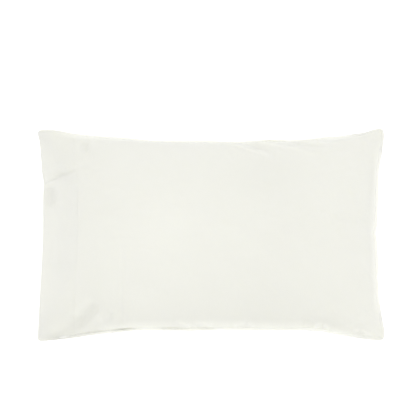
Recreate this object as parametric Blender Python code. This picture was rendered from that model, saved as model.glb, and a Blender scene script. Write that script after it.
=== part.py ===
"""A filled pillowcase lying on its back: one closed solid, in metres, +Z up.

+X runs from the open mouth to the sewn end, +Y from the near long side to the far one. The origin is
on the surface it rests on, under the middle of its box.

Every point comes from two shares of the flat case: s runs from -1 at the mouth to +1 at the sewn end,
t from -1 at the near long side to +1 at the far one. plan_point says where that spot lies seen from
above, front_height and back_height how high the two panels are there.
"""

from collections import namedtuple
from math import exp, pi, sin

import bmesh
import bpy

# Sizes of the filled case, in metres
CASE_LENGTH = 0.720  # from ear tip to ear tip along X, of a case 0.75 long when flat
CASE_WIDTH = 0.482  # from ear tip to ear tip along Y, of a case 0.50 wide when flat
SEAM_BAND = 0.009  # the flat band that the turned seam leaves outside its stitches
BAND_THICK = 0.0030  # the four layers of cloth in that band
LIP_THICK = BAND_THICK / 2  # one hemmed edge at the mouth

# How far each edge is drawn in at its middle, and how suddenly its ears flare: power, softness
Draw = namedtuple("Draw", "depth power softness")
FAR_SIDE = Draw(0.0335, 3.0, 1.10)
NEAR_SIDE = Draw(0.0165, 4.5, 3.00)
SEWN_END = Draw(0.0135, 3.2, 1.60)
MOUTH_END = Draw(0.0105, 2.4, 1.20)
MOUTH_PINCH = 0.0030  # a further draw-in where the mouth crease starts
PINCH_AT = 0.47  # share of the half width
PINCH_SPREAD = 0.10

# Heights
SEAM_HEIGHT = 0.062  # the seam above the surface at the middle of a side
EAR_DROP = 0.012  # the four ears hang lower than that
MOUTH_DROP = 0.006  # and so does the open end
FRONT_CROWN = 0.105  # the front panel's rise above the seam
BACK_CROWN = 0.110  # what the back panel's would be with no surface under it
REST_BLEND = 0.010  # the rounding where the back panel leaves the surface

# The rounding of the filling: power and softness of each falling side
Round = namedtuple("Round", "power softness")
ACROSS = Round(2.3, 0.72)
AT_SEWN_END = Round(3.6, 0.62)
AT_MOUTH = Round(3.0, 1.05)
LIP_SHARE = 0.10  # the hems lie nearly flat over this share of the half length
LIP_ROUNDING = 0.004  # softens the bend where the filling starts behind them
EAR_FLATNESS = 0.55  # how much of the filling the ears lack
EARS_FROM_S = 0.70  # the shares at which the ears begin to flatten
EARS_FROM_T = 0.55

# The mouth: two hems a little apart, with the flap turned in over the filling behind them
MOUTH_GAP = 0.019
GAP_FLAT_TO = 0.45  # share of the half width with the full gap
GAP_SHUT_AT = 0.90  # the lips meet here and stay together to the corner
GAP_FADE = 3.0  # how fast the gap's lift of the panels fades away from the mouth
PINCH_SHUTS = 0.45  # how much of the gap the pinch takes
POCKET_DEPTH = 0.078  # from the hems to where the flap meets the front panel
POCKET_AT_SIDES = 0.35  # the share of that depth left at the pocket's two sides
POCKET_FULL_TO = 0.30  # share of the half width with the full depth
FLAP_CLIMBS_AT = 0.032  # how far in the flap starts to climb over the filling
LIP_THICKENS = 0.6  # the front panel's share of extra thickness at the pocket's end

# Soft waves of the seam along each edge: wave count over the half length, phase, height
WAVE_FADE = 9  # power of the share across the case: the waves stay near the edges
Wave = namedtuple("Wave", "count phase height")
SEAM_WAVES = (
    Wave(3.1, 0.4, 0.0016),
    Wave(5.3, 1.9, 0.0011),
    Wave(8.2, 0.9, 0.0007),
)

# Broad swells and hollows of the filling under the front panel
Swell = namedtuple("Swell", "name x y reach_x reach_y height")
SWELLS = (
    Swell("swell left of the middle", -0.110, -0.020, 0.150, 0.120, 0.0030),
    Swell("hollow right of the middle", 0.130, 0.010, 0.070, 0.170, -0.0035),
    Swell("swell at the sewn end", 0.250, -0.040, 0.090, 0.110, 0.0030),
    Swell("slack by the far ear at the mouth", -0.300, 0.130, 0.060, 0.060, -0.0030),
)

# Creases of the front panel: a straight trough (depth below 0) or ridge between two spots
FOLD_TAPER = 0.5  # the share of its depth that a fold loses towards its second spot
TAPER_FROM = 0.4  # share of the fold's run where that begins
FOLDS_FREE_AT = 0.12  # the share of the crown that lets a fold reach its full depth
GAP_FREES_FOLDS = 0.025  # the mouth gap that would do the same
Fold = namedtuple("Fold", "name x0 y0 x1 y1 half_width depth")
FOLDS = (
    Fold("mouth crease", -0.352, 0.113, -0.290, 0.128, 0.009, -0.0080),
    Fold("lip above the crease", -0.345, 0.136, -0.285, 0.148, 0.011, 0.0030),
    Fold("hollow under the crease", -0.330, 0.082, -0.318, 0.060, 0.016, -0.0060),
    Fold("near corner trough", -0.328, -0.232, -0.240, -0.180, 0.015, -0.0110),
    Fold("near corner ridge", -0.345, -0.205, -0.258, -0.155, 0.015, 0.0035),
    Fold("second trough", -0.222, -0.205, -0.205, -0.180, 0.010, -0.0050),
    Fold("flap end crease", -0.183, -0.222, -0.181, -0.160, 0.009, -0.0040),
    Fold("far pucker at the mouth side", -0.262, 0.196, -0.254, 0.158, 0.012, -0.0050),
    Fold("far ridge 1", 0.030, 0.190, 0.108, 0.152, 0.012, 0.0040),
    Fold("far trough 1", 0.062, 0.192, 0.128, 0.164, 0.010, -0.0035),
    Fold("far ridge 2", 0.102, 0.194, 0.215, 0.146, 0.011, 0.0040),
    Fold("far trough 2", 0.150, 0.192, 0.238, 0.158, 0.010, -0.0030),
    Fold("far ridge 3", 0.190, 0.196, 0.250, 0.180, 0.010, 0.0030),
    Fold("near ear fold 1", 0.215, -0.210, 0.252, -0.196, 0.009, 0.0030),
    Fold("near ear fold 2", 0.288, -0.222, 0.322, -0.206, 0.009, 0.0030),
    Fold("sewn end pucker", 0.345, 0.010, 0.300, 0.004, 0.010, -0.0030),
)

# How finely the panels are divided
STEPS_ALONG = 52
STEPS_ACROSS = 36
STEPS_INTO_POCKET = 7
EDGE_CROWDING = 0.45  # 0 spaces the steps evenly, 1 crowds them at the edges

# The cloth's look
CLOTH_COLOUR = (0.80, 0.80, 0.745, 1.0)
CLOTH_ROUGHNESS = 0.85

HALF_LENGTH = CASE_LENGTH / 2
HALF_WIDTH = CASE_WIDTH / 2
HALF_BAND = BAND_THICK / 2
END_SEAM = 1 - SEAM_BAND / HALF_LENGTH  # share s of the sewn end's stitch line
SIDE_SEAM = 1 - SEAM_BAND / HALF_WIDTH  # share t of the long sides' stitch lines


def smooth_step(low, high, value):
    """0 below low, 1 above high, an S curve between."""
    share = min(max((value - low) / (high - low), 0.0), 1.0)
    return share * share * (3 - 2 * share)


def drawn_in(draw, share):
    """How far an edge is drawn in at a share of its half length."""
    return draw.depth * (1 - min(abs(share), 1.0) ** draw.power) ** draw.softness


def rounded(shape, share):
    """1 in the middle, falling to 0 at the edge."""
    return (1 - min(abs(share), 1.0) ** shape.power) ** shape.softness


def pinch(t):
    """1 where the mouth is pinched, 0 away from there."""
    return exp(-(((t - PINCH_AT) / PINCH_SPREAD) ** 2))


def plan_point(s, t):
    """Where a spot of the case lies, seen from above."""
    if s > 0:
        end_draw = drawn_in(SEWN_END, t)
    else:
        end_draw = drawn_in(MOUTH_END, t) + MOUTH_PINCH * pinch(t)
    side_draw = drawn_in(FAR_SIDE if t > 0 else NEAR_SIDE, s)
    return s * (HALF_LENGTH - end_draw), t * (HALF_WIDTH - side_draw)


def seam_wave(s, t):
    """The seam's own ups and downs, which fade out towards the middle of the case."""
    edge = max(abs(t), s) ** WAVE_FADE
    along = s if abs(t) >= abs(s) else t
    return edge * sum(w.height * sin(pi * w.count * along + w.phase + t) for w in SEAM_WAVES)


def seam_height(s, t):
    """The level at which the two panels would meet."""
    ears = EAR_DROP * s**4 * abs(t) ** 3
    mouth = MOUTH_DROP * min(s, 0.0) ** 6
    return SEAM_HEIGHT - ears - mouth + seam_wave(s, t)


def filling(s, t):
    """The share of the full crown that the filling gives here."""
    if s > 0:
        along = rounded(AT_SEWN_END, s / END_SEAM)
    else:
        inside = (1 + s - LIP_SHARE) / (1 - LIP_SHARE)
        eased = (inside + (inside * inside + LIP_ROUNDING) ** 0.5) / 2
        along = rounded(AT_MOUTH, max(1 - eased, 0.0))
    across = rounded(ACROSS, t / SIDE_SEAM)
    ear = smooth_step(EARS_FROM_S, 1.0, abs(s)) * smooth_step(EARS_FROM_T, 1.0, abs(t))
    return along * across * (1 - EAR_FLATNESS * ear)


def mouth_gap(s, t):
    """The height of the space that opens between the hems, 0 at the corners and at the filling."""
    open_here = 1 - smooth_step(GAP_FLAT_TO, GAP_SHUT_AT, abs(t))
    return MOUTH_GAP * open_here * (1 - PINCH_SHUTS * pinch(t)) * max(-s, 0.0) ** GAP_FADE


def fold_height(x, y):
    """The creases and swells of the front panel, added up."""
    total = 0.0
    for swell in SWELLS:
        away = ((x - swell.x) / swell.reach_x) ** 2 + ((y - swell.y) / swell.reach_y) ** 2
        total += swell.height * exp(-away)
    for fold in FOLDS:
        run_x, run_y = fold.x1 - fold.x0, fold.y1 - fold.y0
        length_squared = run_x * run_x + run_y * run_y
        along = ((x - fold.x0) * run_x + (y - fold.y0) * run_y) / length_squared
        nearest = min(max(along, 0.0), 1.0)
        away_x = x - fold.x0 - nearest * run_x
        away_y = y - fold.y0 - nearest * run_y
        fade = 1 - FOLD_TAPER * smooth_step(TAPER_FROM, 1.0, along)
        away = (away_x * away_x + away_y * away_y) / fold.half_width**2
        total += fold.depth * fade * exp(-away)
    return total


def front_height(s, t):
    """The outer face of the front panel."""
    x, y = plan_point(s, t)
    gap = mouth_gap(s, t)
    share = filling(s, t)
    # the bands hold no fold
    free = smooth_step(0.0, 1.0, share / FOLDS_FREE_AT + gap / GAP_FREES_FOLDS)
    return seam_height(s, t) + HALF_BAND + gap / 2 + FRONT_CROWN * share + fold_height(x, y) * free


def back_height(s, t):
    """The outer face of the back panel, pressed flat where it rests."""
    level = seam_height(s, t) - HALF_BAND - mouth_gap(s, t) / 2 - BACK_CROWN * filling(s, t)
    if level < -REST_BLEND:
        return 0.0
    if level > REST_BLEND:
        return level
    return (level + REST_BLEND) ** 2 / (4 * REST_BLEND)


def crowded(count, low, high):
    """Shares from low to high, closer together near both."""
    shares = []
    for i in range(count + 1):
        even = 2 * i / count - 1
        bent = (1 - EDGE_CROWDING) * even + EDGE_CROWDING * sin(pi / 2 * even)
        shares.append(low + (high - low) * (bent + 1) / 2)
    return shares


def skin_faces(bm, grid, face_up):
    """Quads over a grid of vertices, facing up or down."""
    for row, next_row in zip(grid, grid[1:]):
        for j in range(len(row) - 1):
            corners = [row[j], next_row[j], next_row[j + 1], row[j + 1]]
            distinct = list(dict.fromkeys(corners if face_up else reversed(corners)))
            if len(distinct) > 2:
                bm.faces.new(distinct)


def add_panels(bm, along, across):
    """The outer faces of both panels, each a grid of vertices."""
    front, back = [], []
    for s in along:
        plan = [plan_point(s, t) for t in across]
        front.append([bm.verts.new((x, y, front_height(s, t))) for (x, y), t in zip(plan, across)])
        back.append([bm.verts.new((x, y, back_height(s, t))) for (x, y), t in zip(plan, across)])
    skin_faces(bm, front, True)
    skin_faces(bm, back, False)
    return front, back


def add_seam_edges(bm, front, back):
    """The cut edge of the seam band, round both long sides and the sewn end."""
    near = [(row[0], low[0]) for row, low in zip(front, back)]
    end = list(zip(front[-1], back[-1]))
    far = [(row[-1], low[-1]) for row, low in zip(front, back)]
    rim = near + end[1:-1] + far[::-1]
    for (top, bottom), (next_top, next_bottom) in zip(rim, rim[1:]):
        bm.faces.new((top, bottom, next_bottom, next_top))


def pocket_depths():
    """Shares of the way into the pocket, from the hems to its end."""
    return [i / STEPS_INTO_POCKET for i in range(STEPS_INTO_POCKET + 1)]


def pocket_point(depth, t, at_side):
    """A spot's plan place, with the pocket's ceiling and floor there; both meet at its end and sides."""
    side_share = smooth_step(GAP_SHUT_AT, POCKET_FULL_TO, abs(t))
    reach = POCKET_DEPTH * (POCKET_AT_SIDES + (1 - POCKET_AT_SIDES) * side_share)
    s = -1 + depth * reach / HALF_LENGTH
    ceiling = front_height(s, t) - LIP_THICK * (1 + LIP_THICKENS * depth)
    floor = back_height(s, t) + LIP_THICK
    if at_side:
        return plan_point(s, t), (ceiling + floor) / 2, None
    if depth == 1.0:
        return plan_point(s, t), ceiling, None
    climb = smooth_step(FLAP_CLIMBS_AT / POCKET_DEPTH, 1.0, depth)
    return plan_point(s, t), ceiling, floor + (ceiling - floor) * climb


def add_pocket(bm, across):
    """The pocket's two faces, as grids of vertices that share their end and sides."""
    ceilings, floors = [], []
    for step in range(STEPS_INTO_POCKET + 1):
        upper, lower = [], []
        for t in across:
            at_side = t in (across[0], across[-1])
            (x, y), ceiling, floor = pocket_point(step / STEPS_INTO_POCKET, t, at_side)
            upper.append(bm.verts.new((x, y, ceiling)))
            lower.append(upper[-1] if floor is None else bm.verts.new((x, y, floor)))
        ceilings.append(upper)
        floors.append(lower)
    skin_faces(bm, ceilings, False)
    skin_faces(bm, floors, True)
    return ceilings[0], floors[0]


def add_mouth(bm, front, back, across):
    """The two hems' edges, a single edge by the ears and two lips along the pocket."""
    open_columns = [j for j, t in enumerate(across) if abs(t) < GAP_SHUT_AT]
    first, last = open_columns[0] - 1, open_columns[-1] + 1
    ceiling, floor = add_pocket(bm, across[first : last + 1])
    for j in range(len(across) - 1):
        if first <= j < last:
            k = j - first
            bm.faces.new((front[j], front[j + 1], ceiling[k + 1], ceiling[k]))
            bm.faces.new((floor[k], floor[k + 1], back[j + 1], back[j]))
        else:
            before = [ceiling[-1]] if j == last else []
            after = [ceiling[0]] if j + 1 == first else []
            bm.faces.new([front[j], front[j + 1], *after, back[j + 1], back[j], *before])


def merge_resting_faces(bm):
    """One flat face where the case rests on the surface."""
    flat = [f for f in bm.faces if all(v.co.z == 0.0 for v in f.verts)]
    bmesh.ops.dissolve_faces(bm, faces=flat, use_verts=True)


def cloth_material():
    """Plain cream cotton."""
    material = bpy.data.materials.new("cream_cotton")
    material.use_nodes = True
    shader = material.node_tree.nodes["Principled BSDF"]
    shader.inputs["Base Color"].default_value = CLOTH_COLOUR
    shader.inputs["Roughness"].default_value = CLOTH_ROUGHNESS
    shader.inputs["Metallic"].default_value = 0.0
    return material


def build_pillowcase():
    """Both panels, the seam band round three sides and the hemmed mouth, as one closed solid."""
    along = crowded(STEPS_ALONG, -1.0, END_SEAM) + [1.0]
    across = [-1.0] + crowded(STEPS_ACROSS, -SIDE_SEAM, SIDE_SEAM) + [1.0]
    bm = bmesh.new()
    front, back = add_panels(bm, along, across)
    add_seam_edges(bm, front, back)
    add_mouth(bm, front[0], back[0], across)
    merge_resting_faces(bm)
    bmesh.ops.triangulate(bm, faces=bm.faces, quad_method="SHORT_EDGE", ngon_method="BEAUTY")
    mesh = bpy.data.meshes.new("pillowcase")
    bm.to_mesh(mesh)
    bm.free()
    mesh.materials.append(cloth_material())
    mesh.shade_smooth()
    pillowcase = bpy.data.objects.new("pillowcase", mesh)
    bpy.context.scene.collection.objects.link(pillowcase)
    return pillowcase


def main():
    for old in list(bpy.data.objects):
        bpy.data.objects.remove(old, do_unlink=True)
    build_pillowcase()


main()
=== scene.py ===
# %% [markdown]
# # A filled pillowcase, lying on its back
#
# The object is one cream cotton pillowcase with a pillow in it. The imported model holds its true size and
# collision. This script dresses it: a finer cloth surface settled by a cloth simulation, the creases,
# turned seams, hems and stitches, the woven finish, and the studio round it. Everything is in metres.
# +X runs from the open mouth to the sewn end, +Y to the far long side, +Z up.

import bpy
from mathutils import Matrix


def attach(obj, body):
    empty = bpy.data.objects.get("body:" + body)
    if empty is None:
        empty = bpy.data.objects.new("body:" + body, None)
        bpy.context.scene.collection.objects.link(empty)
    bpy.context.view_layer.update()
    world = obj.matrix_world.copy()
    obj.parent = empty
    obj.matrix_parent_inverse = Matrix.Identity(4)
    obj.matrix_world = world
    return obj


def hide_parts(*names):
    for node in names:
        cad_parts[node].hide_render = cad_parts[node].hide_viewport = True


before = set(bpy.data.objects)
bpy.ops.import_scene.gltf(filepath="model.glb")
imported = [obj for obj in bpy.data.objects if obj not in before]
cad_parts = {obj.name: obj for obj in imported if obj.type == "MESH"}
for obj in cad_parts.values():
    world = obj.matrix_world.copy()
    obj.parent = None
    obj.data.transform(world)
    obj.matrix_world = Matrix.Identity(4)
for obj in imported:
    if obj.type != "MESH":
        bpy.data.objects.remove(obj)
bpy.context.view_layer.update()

# %% Tools used all through
from collections import namedtuple
from functools import partial, partialmethod
from math import cos, pi, radians, sin

import bpy
import numpy as np
from mathutils import Vector

scene = bpy.context.scene


def smooth_step(low, high, value):
    """0 below low, 1 above high, an S curve between; works on arrays."""
    share = np.clip((value - low) / (high - low), 0.0, 1.0)
    return share * share * (3 - 2 * share)


def bump_at(value, centre, reach):
    """1 at the centre, fading to nothing a few reaches away."""
    return np.exp(-(((value - centre) / reach) ** 2))


def add_object(name, data):
    """A new object in the scene."""
    made = bpy.data.objects.new(name, data)
    scene.collection.objects.link(made)
    return made


def look_along(thing, direction):
    """Turns a camera or a lamp to face along a direction."""
    thing.rotation_euler = direction.to_track_quat("-Z", "Y").to_euler()


def mesh_object(name, points, edges, faces):
    """A new object of a mesh given by its points and its edges or faces."""
    mesh = bpy.data.meshes.new(name)
    mesh.from_pydata(points, edges, faces)
    return add_object(name, mesh)


# %% [markdown]
# ## The camera
#
# In the photograph the case is as wide at its near edge as at its far one, so the lens is very long. A
# flat case is 1.5 times as long as wide, and here it looks 1.64 times, so the camera looks down at 66
# degrees from the side of the near long edge. The picture is taken as 400 x 400 pixels.

# %% Camera
PICTURE_SIZE = 400  # pixels each way
VIEW_ELEVATION = radians(66.0)
LENS_MM, SENSOR_MM = 1200.0, 36.0
EARS_LEFT_PX, EARS_RIGHT_PX = 38.2, 383.4  # the ear tips' columns in the picture
EARS_TOP_PX, EARS_BOTTOM_PX = 129.6, 340.6  # and their rows
EAR_LEVEL = 0.046  # the ears' height above the surface
CASE_LENGTH, CASE_WIDTH = 0.720, 0.482  # ear tip to ear tip, filled
metres_per_pixel = CASE_LENGTH / (EARS_RIGHT_PX - EARS_LEFT_PX)

camera_data = bpy.data.cameras.new("camera")
camera_data.lens, camera_data.sensor_width = LENS_MM, SENSOR_MM
camera_data.clip_end = 100.0
camera = scene.camera = add_object("camera", camera_data)

towards_camera = Vector((0, -cos(VIEW_ELEVATION), sin(VIEW_ELEVATION)))
picture_up = Vector((0, sin(VIEW_ELEVATION), cos(VIEW_ELEVATION)))
right_shift = (PICTURE_SIZE / 2 - (EARS_LEFT_PX + EARS_RIGHT_PX) / 2) * metres_per_pixel
up_shift = ((EARS_TOP_PX + EARS_BOTTOM_PX) / 2 - PICTURE_SIZE / 2) * metres_per_pixel
aim = Vector((right_shift, 0, EAR_LEVEL)) + picture_up * up_shift
camera_distance = PICTURE_SIZE * metres_per_pixel * LENS_MM / SENSOR_MM
camera.location = aim + towards_camera * camera_distance
look_along(camera, -towards_camera)
print(f"{metres_per_pixel * 1000:.2f} mm a pixel, camera {camera_distance:.1f} m away")

# %% [markdown]
# ## The case seen from above
#
# Two shares name every spot of the case: s from -1 at the mouth to +1 at the sewn end, t from -1 at the
# near long side to +1 at the far one. Working on whole arrays of s and t at once is what makes a fine
# surface quick. The filling draws the edges in between the corners, and the four empty corners, the
# ears, flare out to tips that are a little rounded, as turned corners are. The sizes are those of the
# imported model, so the two agree.

# %% Plan of the case
HALF_LENGTH, HALF_WIDTH = CASE_LENGTH / 2, CASE_WIDTH / 2
Draw = namedtuple("Draw", "depth power softness")  # how deep an edge is drawn in, how suddenly its ears flare
FAR_SIDE = Draw(0.0335, 3.0, 1.10)
NEAR_SIDE = Draw(0.0165, 4.5, 3.00)
SEWN_END = Draw(0.0135, 3.2, 1.60)
MOUTH_END = Draw(0.0105, 2.4, 1.20)
MOUTH_PINCH, PINCH_AT, PINCH_SPREAD = 0.0030, 0.47, 0.10  # a crease draws the mouth in further
EAR_ROUNDING, ROUNDING_FROM, ROUNDING_POWER = 0.0028, 0.0122, 2.2  # turned corners are never quite sharp
Nudge = namedtuple("Nudge", "name edge at spread outward")  # a small shift of an edge that the photograph shows
NUDGES = [Nudge(*row) for row in (
    ("far ear at the mouth stands out", "far", -0.90, 0.08, 0.0045),
    ("far side, mouth half", "far", -0.55, 0.32, 0.0035),
    ("far side, blob of gathered cloth", "far", 0.34, 0.10, 0.0020),
    ("far ear at the sewn end", "far", 0.98, 0.06, 0.0020),
    ("near side, held in to the right", "near", 0.58, 0.15, -0.0040),
    ("near side, middle", "near", 0.05, 0.40, -0.0012),
    ("sewn end, far half", "sewn", 0.62, 0.42, 0.0038),
    ("sewn end, near half", "sewn", -0.45, 0.45, 0.0012),
    ("sewn end's pucker", "sewn", -0.02, 0.05, -0.0030),
    ("mouth, near half", "mouth", -0.55, 0.40, 0.0024),
    ("far ear's tip at the mouth", "mouth", 0.97, 0.07, 0.0030),
)]


def drawn_in(draw, share):
    """How far an edge is drawn in at a share of its half length."""
    return draw.depth * (1 - np.minimum(np.abs(share), 1.0) ** draw.power) ** draw.softness


def nudged(edge, share):
    """The small shifts of one edge, inwards."""
    return -sum(n.outward * bump_at(share, n.at, n.spread) for n in NUDGES if n.edge == edge)


def plan_point(s, t):
    """Where a spot of the case lies, seen from above."""
    mouth_draw = drawn_in(MOUTH_END, t) + MOUTH_PINCH * bump_at(t, PINCH_AT, PINCH_SPREAD) + nudged("mouth", t)
    end_draw = np.where(s > 0, drawn_in(SEWN_END, t) + nudged("sewn", t), mouth_draw)
    side_draw = np.where(t > 0, drawn_in(FAR_SIDE, s) + nudged("far", s), drawn_in(NEAR_SIDE, s) + nudged("near", s))
    near_end = np.maximum(1 - (1 - np.abs(s)) * HALF_LENGTH / ROUNDING_FROM, 0.0)
    near_side = np.maximum(1 - (1 - np.abs(t)) * HALF_WIDTH / ROUNDING_FROM, 0.0)
    tip = EAR_ROUNDING * (near_end * near_side) ** ROUNDING_POWER
    return s * (HALF_LENGTH - end_draw - tip), t * (HALF_WIDTH - side_draw - tip)


def off_edges(s, t):
    """How far a spot lies inside the long side, the sewn end and the mouth."""
    return (1 - np.abs(t)) * HALF_WIDTH, (1 - s) * HALF_LENGTH, (1 + s) * HALF_LENGTH


for name, s, t in (("mouth", -1.0, 0.0), ("sewn end", 1.0, 0.0), ("near side", 0.0, -1.0), ("far side", 0.0, 1.0)):
    print(f"the middle of the {name} lies at", [round(float(v), 3) for v in plan_point(s, t)])

# %% [markdown]
# ## The two panels' heights
#
# A case is two flat panels sewn round three sides. The seam floats half way up the filling, hangs a
# little at the ears, and waves. The front panel arches over the filling. The back panel would arch as
# much below, but the surface under it presses it flat. A height for each spot is simple and exact here,
# because nothing overhangs.

# %% Seam and filling
SEAM_BAND = 0.0055  # the flat band that the turned seam leaves outside its stitches
BAND_THICK = 0.0026  # its four layers of cloth
SIDE_FILLET, END_FILLET = 0.009, 0.012  # the panel leaves the band in a curve of about this reach
SEAM_HEIGHT, EAR_DROP, MOUTH_DROP = 0.062, 0.012, 0.006
FRONT_CROWN, BACK_CROWN, REST_BLEND = 0.105, 0.110, 0.010
Round = namedtuple("Round", "power softness")
ACROSS, AT_SEWN_END, AT_MOUTH = Round(2.3, 0.72), Round(3.6, 0.62), Round(3.0, 1.05)
LIP_SHARE, LIP_ROUNDING = 0.10, 0.004  # the hems lie nearly flat over this share of the half length
EAR_FLATNESS, EARS_FROM_S, EARS_FROM_T = 0.55, 0.70, 0.55
END_SEAM, SIDE_SEAM = 1 - SEAM_BAND / HALF_LENGTH, 1 - SEAM_BAND / HALF_WIDTH
WAVE_FADE = 9  # the waves stay near the edges
Wave = namedtuple("Wave", "count phase height")
SEAM_WAVES = [Wave(*row) for row in ((3.1, 0.4, 0.0016), (5.3, 1.9, 0.0011), (8.2, 0.9, 0.0007))]


def seam_height(s, t):
    """The level at which the two panels would meet."""
    edge = np.maximum(np.abs(t), s) ** WAVE_FADE
    along = np.where(np.abs(t) >= np.abs(s), s, t)
    waves = edge * sum(w.height * np.sin(pi * w.count * along + w.phase + t) for w in SEAM_WAVES)
    ears = EAR_DROP * s**4 * np.abs(t) ** 3
    return SEAM_HEIGHT - ears - MOUTH_DROP * np.minimum(s, 0.0) ** 6 + waves


def rounded(shape, share):
    """1 in the middle, falling to 0 at the edge."""
    return (1 - np.minimum(np.abs(share), 1.0) ** shape.power) ** shape.softness


def off_the_seam(share, seam_share, half, reach):
    """A share of the way to a seam, changed so that the panel leaves the seam in a curve."""
    inside = np.maximum(seam_share - np.abs(share), 0.0) * half
    return 1 - inside * (1 - np.exp(-inside / reach)) / half / seam_share


def filling(s, t):
    """The share of the full crown that the filling gives here."""
    inside = (1 + s - LIP_SHARE) / (1 - LIP_SHARE)
    eased = (inside + np.sqrt(inside * inside + LIP_ROUNDING)) / 2
    at_mouth = rounded(AT_MOUTH, np.maximum(1 - eased, 0.0))
    at_end = rounded(AT_SEWN_END, off_the_seam(s, END_SEAM, HALF_LENGTH, END_FILLET))
    ear = smooth_step(EARS_FROM_S, 1.0, np.abs(s)) * smooth_step(EARS_FROM_T, 1.0, np.abs(t))
    across = rounded(ACROSS, off_the_seam(t, SIDE_SEAM, HALF_WIDTH, SIDE_FILLET))
    return np.where(s > 0, at_end, at_mouth) * across * (1 - EAR_FLATNESS * ear)


print(f"crown at the middle: {1000 * (SEAM_HEIGHT + FRONT_CROWN * float(filling(0.0, 0.0))):.0f} mm above the surface")

# %% [markdown]
# ## Swells and main creases
#
# The filling pushes the cloth up in broad swells. Where the case is pulled, as at the ears and the
# mouth, cloth gathers into straight folds. Each fold is one row of a table: where it starts and ends
# seen from above, its half width and its depth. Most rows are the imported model's own, and a few were
# fitted once more to this finer surface.

# %% Fold table
Patch = namedtuple("Patch", "name x y reach_x reach_y amount")
SWELLS = [Patch(*row) for row in (
    ("swell left of the middle", -0.110, -0.020, 0.150, 0.120, 0.0030),
    ("hollow right of the middle", 0.130, 0.010, 0.070, 0.170, -0.0035),
    ("swell at the sewn end", 0.250, -0.040, 0.090, 0.110, 0.0030),
    ("slack by the far ear at the mouth", -0.300, 0.130, 0.060, 0.060, -0.0030),
)]
Fold = namedtuple("Fold", "name x0 y0 x1 y1 half_width depth")
FOLDS = [Fold(*row) for row in (
    ("mouth crease", -0.352, 0.113, -0.290, 0.128, 0.009, -0.0036),
    ("lip above the crease", -0.345, 0.136, -0.285, 0.148, 0.011, 0.0030),
    ("hollow under the crease", -0.335, 0.086, -0.331, 0.060, 0.015, -0.0060),
    ("near corner trough", -0.330, -0.238, -0.238, -0.185, 0.015, -0.0110),
    ("near corner ridge", -0.345, -0.205, -0.258, -0.155, 0.015, 0.0005),
    ("second trough", -0.222, -0.205, -0.205, -0.180, 0.010, -0.0050),
    ("flap end crease", -0.183, -0.222, -0.181, -0.160, 0.009, -0.0040),
    ("far pucker at the mouth side", -0.262, 0.196, -0.254, 0.158, 0.012, -0.0050),
    ("far ridge 1", 0.030, 0.190, 0.108, 0.152, 0.012, 0.0040),
    ("far trough 1", 0.066, 0.189, 0.128, 0.158, 0.010, -0.0035),
    ("far ridge 2", 0.102, 0.194, 0.215, 0.146, 0.011, 0.0040),
    ("far trough 2", 0.160, 0.195, 0.240, 0.168, 0.010, -0.0022),
    ("far ridge 3", 0.190, 0.196, 0.250, 0.180, 0.010, 0.0030),
    ("near ear fold 1", 0.215, -0.210, 0.252, -0.196, 0.009, 0.0030),
    ("near ear fold 2", 0.288, -0.222, 0.322, -0.206, 0.009, 0.0030),
    ("sewn end pucker", 0.345, 0.010, 0.300, 0.004, 0.010, -0.0012),
)]
FOLD_TAPER, TAPER_FROM = 0.5, 0.4  # a fold loses this share of its depth towards its second spot
FOLDS_FREE_AT, GAP_FREES_FOLDS = 0.12, 0.025  # the crown, or the mouth's gap, that lets a fold be itself


def along_and_away(fold, x, y):
    """The share of the way along a fold, and the distance from it."""
    run_x, run_y = fold.x1 - fold.x0, fold.y1 - fold.y0
    along = ((x - fold.x0) * run_x + (y - fold.y0) * run_y) / (run_x**2 + run_y**2)
    nearest = np.clip(along, 0.0, 1.0)
    return along, np.hypot(x - fold.x0 - nearest * run_x, y - fold.y0 - nearest * run_y)


def patches(rows, x, y):
    """Soft patches added up: each has its amount at its middle and fades all round."""
    total = 0.0
    for row in rows:
        total = total + row.amount * np.exp(-(((x - row.x) / row.reach_x) ** 2 + ((y - row.y) / row.reach_y) ** 2))
    return total


def fold_height(x, y):
    """The swells and folds of the front panel, added up."""
    total = patches(SWELLS, x, y)
    for fold in FOLDS:
        along, away = along_and_away(fold, x, y)
        fade = 1 - FOLD_TAPER * smooth_step(TAPER_FROM, 1.0, along)
        total = total + fold.depth * fade * bump_at(away, 0, fold.half_width)
    return total


print(f"{len(SWELLS)} swells and {len(FOLDS)} folds")

# %% [markdown]
# ## The mouth
#
# One end stays open: two hemmed lips lie a little apart, with the flap turned in over the filling behind
# them. A pocket that really goes in, with a ceiling, a floor and the flap at its end, reads as a mouth
# from every side. The cloth's edges are rounded like a folded hem, never sharp.

# %% Mouth and outer faces
MOUTH_GAP, GAP_FLAT_TO, GAP_SHUT_AT, GAP_FADE = 0.019, 0.45, 0.90, 3.0
PINCH_SHUTS = 0.45  # how much of the gap the pinch takes
LIPS_APART = 0.0003  # the lips touch by the ears, with this much air to keep them two
POCKET_DEPTH, POCKET_AT_SIDES, POCKET_FULL_TO = 0.078, 0.35, 0.30
FLAP_CLIMBS_AT = 0.032  # how far in the flap starts to climb over the filling
LIP_THICKENS = 0.6
HALF_BAND = BAND_THICK / 2


def mouth_gap(s, t):
    """The height of the space between the hems, next to nothing at the corners and at the filling."""
    open_here = 1 - smooth_step(GAP_FLAT_TO, GAP_SHUT_AT, np.abs(t))
    pinched = 1 - PINCH_SHUTS * bump_at(t, PINCH_AT, PINCH_SPREAD)
    return MOUTH_GAP * open_here * pinched * np.maximum(-s, 0.0) ** GAP_FADE


def nose(distance, radius):
    """The rounding of a folded edge: 0 at the edge, 1 a radius inside it."""
    near = np.clip(distance / radius, 0.0, 1.0)
    return np.sqrt(1 - (1 - near) ** 2)


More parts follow.
